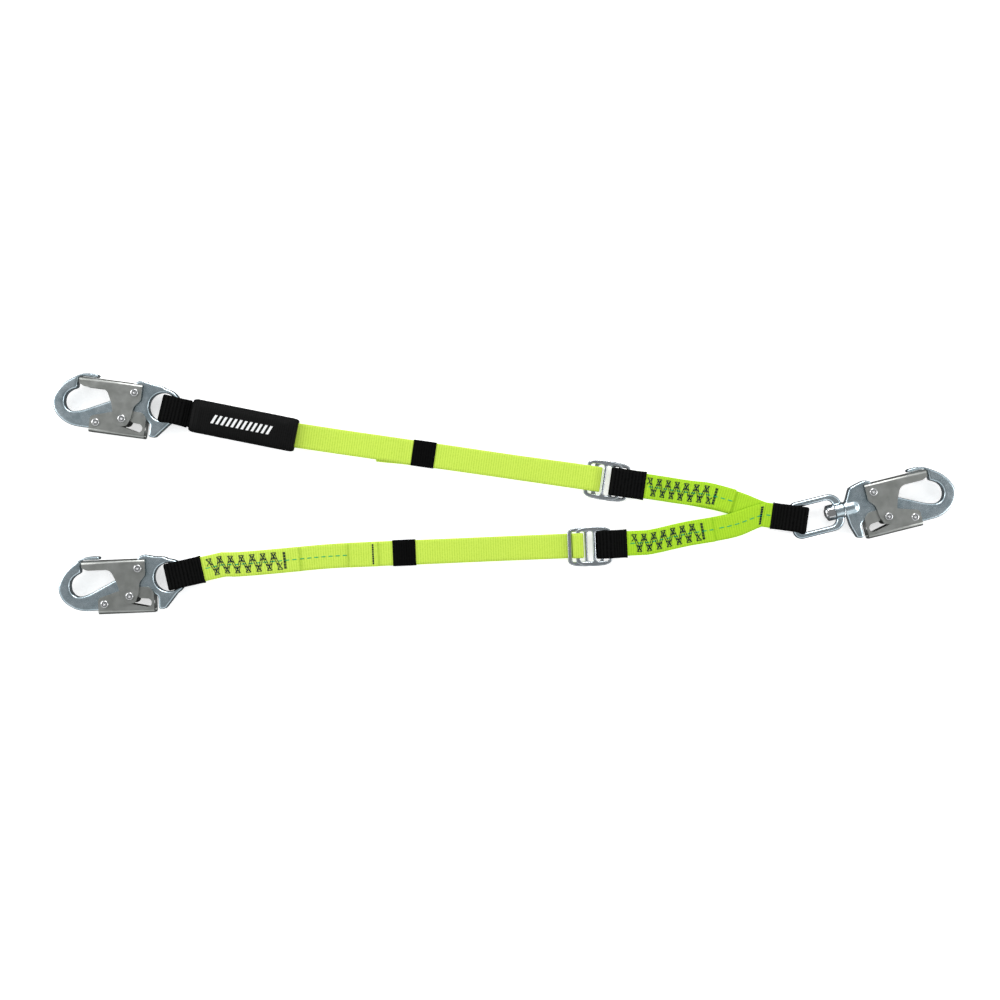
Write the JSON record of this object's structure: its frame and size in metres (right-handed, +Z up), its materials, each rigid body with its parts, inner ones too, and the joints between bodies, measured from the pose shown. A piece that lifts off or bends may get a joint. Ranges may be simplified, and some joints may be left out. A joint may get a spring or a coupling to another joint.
{
  "type": "shock absorbing lanyard",
  "caption": "Fall-arrest lanyard: adjustable webbing legs with locking snap hooks, a shock pack and a swivel snap hook on a sewn yoke.",
  "frame": {"origin": "middle of the footprint of the lanyard laid out flat, on the surface it lies on", "axes": "+X from the leg hooks towards the swivel hook, +Y towards the leg with the shock pack, +Z up"},
  "size_m": [0.9203, 0.246, 0.0221],
  "materials": {
    "webbing": "ribbed neon yellow-green polyester webbing",
    "tear_webbing": "woven tear webbing",
    "sleeve": "ribbed black wear sleeve",
    "elastic": "ribbed black elastic",
    "cover": "black coated woven cover",
    "hardware": "bright zinc",
    "spring": "spring steel",
    "forging": "bright zinc plated forging",
    "sheet": "satin zinc plated pressed steel",
    "frame": "zinc plated stamped steel"
  },
  "bodies": {
    "yoke": {"yoke_webbing": "webbing"},
    "swivel_link": {"swivel_link": "forging", "link_loop": "webbing", "link_sleeve": "sleeve"},
    "swivel_hook": {"swivel_hook_body": "forging", "swivel_stud": "hardware", "swivel_nut": "hardware", "swivel_washer": "hardware", "swivel_gate_pivot_rivet": "hardware", "swivel_lock_pivot_rivet": "hardware", "swivel_gate_spring": "spring", "swivel_lock_spring": "spring"},
    "swivel_gate": {"swivel_gate": "sheet", "swivel_gate_catch_rivet": "hardware"},
    "swivel_lock": {"swivel_lock_lever": "sheet"},
    "upper_adjuster": {"upper_adjuster_rear_frame": "frame", "upper_adjuster_front_frame": "frame", "upper_adjuster_loop": "webbing", "upper_adjuster_sleeve": "sleeve"},
    "upper_leg": {"upper_leg_webbing": "webbing", "shock_pack_cover": "cover", "shock_pack_tear_webbing": "tear_webbing"},
    "upper_tail": {"upper_tail_webbing": "webbing"},
    "upper_keeper": {"upper_keeper": "elastic"},
    "upper_hook": {"upper_hook_body": "forging", "upper_gate_pivot_rivet": "hardware", "upper_lock_pivot_rivet": "hardware", "upper_gate_spring": "spring", "upper_lock_spring": "spring", "upper_hook_loop": "webbing", "upper_hook_sleeve": "sleeve"},
    "upper_gate": {"upper_gate": "sheet", "upper_gate_catch_rivet": "hardware"},
    "upper_lock": {"upper_lock_lever": "sheet"},
    "lower_adjuster": {"lower_adjuster_rear_frame": "frame", "lower_adjuster_front_frame": "frame", "lower_adjuster_loop": "webbing", "lower_adjuster_sleeve": "sleeve"},
    "lower_leg": {"lower_leg_webbing": "webbing"},
    "lower_tail": {"lower_tail_webbing": "webbing"},
    "lower_keeper": {"lower_keeper": "elastic"},
    "lower_hook": {"lower_hook_body": "forging", "lower_gate_pivot_rivet": "hardware", "lower_lock_pivot_rivet": "hardware", "lower_gate_spring": "spring", "lower_lock_spring": "spring", "lower_hook_loop": "webbing", "lower_hook_sleeve": "sleeve"},
    "lower_gate": {"lower_gate": "sheet", "lower_gate_catch_rivet": "hardware"},
    "lower_lock": {"lower_lock_lever": "sheet"}
  },
  "joints": [
    {"name": "link_swing", "type": "hinge", "parent": "yoke", "child": "swivel_link", "pos_m": [0.27481, -0.02261, 0.0033], "axis": [-0.1409, -0.99, 0], "range_deg": [-80, 80], "deforming": ["yoke_webbing", "link_loop", "link_sleeve"]},
    {"name": "swivel_spin", "type": "hinge", "parent": "swivel_link", "child": "swivel_hook", "pos_m": [0.349, -0.0157, 0.0111], "axis": [0.9703, 0.2419, 0], "continuous": true},
    {"name": "upper_adjuster_flex", "type": "hinge", "parent": "yoke", "child": "upper_adjuster", "pos_m": [0.14389, 0.00761, 0.0137], "axis": [0.1444, 0.9895, 0], "range_deg": [-80, 80], "deforming": ["yoke_webbing", "upper_adjuster_loop", "upper_adjuster_sleeve"]},
    {"name": "upper_leg_slide", "type": "slide", "parent": "upper_adjuster", "child": "upper_leg", "axis": [0.9895, -0.1444, 0], "range_m": [-0.12, 0.035], "deforming": ["upper_leg_webbing"]},
    {"name": "upper_tail_slide", "type": "slide", "parent": "upper_adjuster", "child": "upper_tail", "axis": [0.9895, -0.1444, 0], "range_m": [-0.035, 0.12], "deforming": ["upper_tail_webbing"]},
    {"name": "upper_keeper_slide", "type": "slide", "parent": "upper_tail", "child": "upper_keeper", "axis": [0.9895, -0.1444, 0], "range_m": [0, 0.07]},
    {"name": "upper_hook_flex", "type": "hinge", "parent": "upper_leg", "child": "upper_hook", "pos_m": [-0.32038, 0.08084, 0.0108], "axis": [0.2334, 0.9724, 0], "range_deg": [-70, 70], "deforming": ["upper_hook_loop", "upper_hook_sleeve"]},
    {"name": "lower_adjuster_flex", "type": "hinge", "parent": "yoke", "child": "lower_adjuster", "pos_m": [0.1264, -0.05117, 0.0041], "axis": [-0.0419, 0.9991, 0], "range_deg": [-65, 65], "deforming": ["yoke_webbing", "lower_adjuster_loop", "lower_adjuster_sleeve"]},
    {"name": "lower_leg_slide", "type": "slide", "parent": "lower_adjuster", "child": "lower_leg", "axis": [0.9991, 0.0419, 0], "range_m": [-0.135, 0.025], "deforming": ["lower_leg_webbing"]},
    {"name": "lower_tail_slide", "type": "slide", "parent": "lower_adjuster", "child": "lower_tail", "axis": [0.9991, 0.0419, 0], "range_m": [-0.025, 0.135], "deforming": ["lower_tail_webbing"]},
    {"name": "lower_keeper_slide", "type": "slide", "parent": "lower_tail", "child": "lower_keeper", "axis": [0.9991, 0.0419, 0], "range_m": [0, 0.14]},
    {"name": "lower_hook_flex", "type": "hinge", "parent": "lower_leg", "child": "lower_hook", "pos_m": [-0.30857, -0.07742, 0.0069], "axis": [-0.2233, 0.9748, 0], "range_deg": [-70, 70], "deforming": ["lower_hook_loop", "lower_hook_sleeve"]},
    {"name": "swivel_lock_press", "type": "hinge", "parent": "swivel_hook", "child": "swivel_lock", "pos_m": [0.41795, -0.02397, 0.0111], "axis": [0, 0, -1], "range_deg": [0, 8], "stiffness_Nm_per_rad": 0.5, "springref_deg": -8.59, "deforming": ["swivel_lock_spring"]},
    {"name": "swivel_gate_open", "type": "hinge", "parent": "swivel_hook", "child": "swivel_gate", "pos_m": [0.37494, 0.00138, 0.0111], "axis": [0, 0, -1], "range_deg": [0, 22], "stiffness_Nm_per_rad": 0.3, "springref_deg": -11.46, "deforming": ["swivel_gate_spring"]},
    {"name": "upper_lock_press", "type": "hinge", "parent": "upper_hook", "child": "upper_lock", "pos_m": [-0.41521, 0.07243, 0.0111], "axis": [0, 0, 1], "range_deg": [0, 8], "stiffness_Nm_per_rad": 0.5, "springref_deg": -8.59, "deforming": ["upper_lock_spring"]},
    {"name": "upper_gate_open", "type": "hinge", "parent": "upper_hook", "child": "upper_gate", "pos_m": [-0.37524, 0.10234, 0.0111], "axis": [0, 0, 1], "range_deg": [0, 22], "stiffness_Nm_per_rad": 0.3, "springref_deg": -11.46, "deforming": ["upper_gate_spring"]},
    {"name": "lower_lock_press", "type": "hinge", "parent": "lower_hook", "child": "lower_lock", "pos_m": [-0.40605, -0.11257, 0.0111], "axis": [0, 0, 1], "range_deg": [0, 8], "stiffness_Nm_per_rad": 0.5, "springref_deg": -8.59, "deforming": ["lower_lock_spring"]},
    {"name": "lower_gate_open", "type": "hinge", "parent": "lower_hook", "child": "lower_gate", "pos_m": [-0.37195, -0.07611, 0.0111], "axis": [0, 0, 1], "range_deg": [0, 22], "stiffness_Nm_per_rad": 0.3, "springref_deg": -11.46, "deforming": ["lower_gate_spring"]}
  ],
  "couplings": [
    {"joint": "upper_tail_slide", "follows": "upper_leg_slide", "ratio": -1},
    {"joint": "lower_tail_slide", "follows": "lower_leg_slide", "ratio": -1},
    {"joint": "swivel_gate_open", "follows": "swivel_lock_press", "ratio": 2.75},
    {"joint": "upper_gate_open", "follows": "upper_lock_press", "ratio": 2.75},
    {"joint": "lower_gate_open", "follows": "lower_lock_press", "ratio": 2.75}
  ]
}
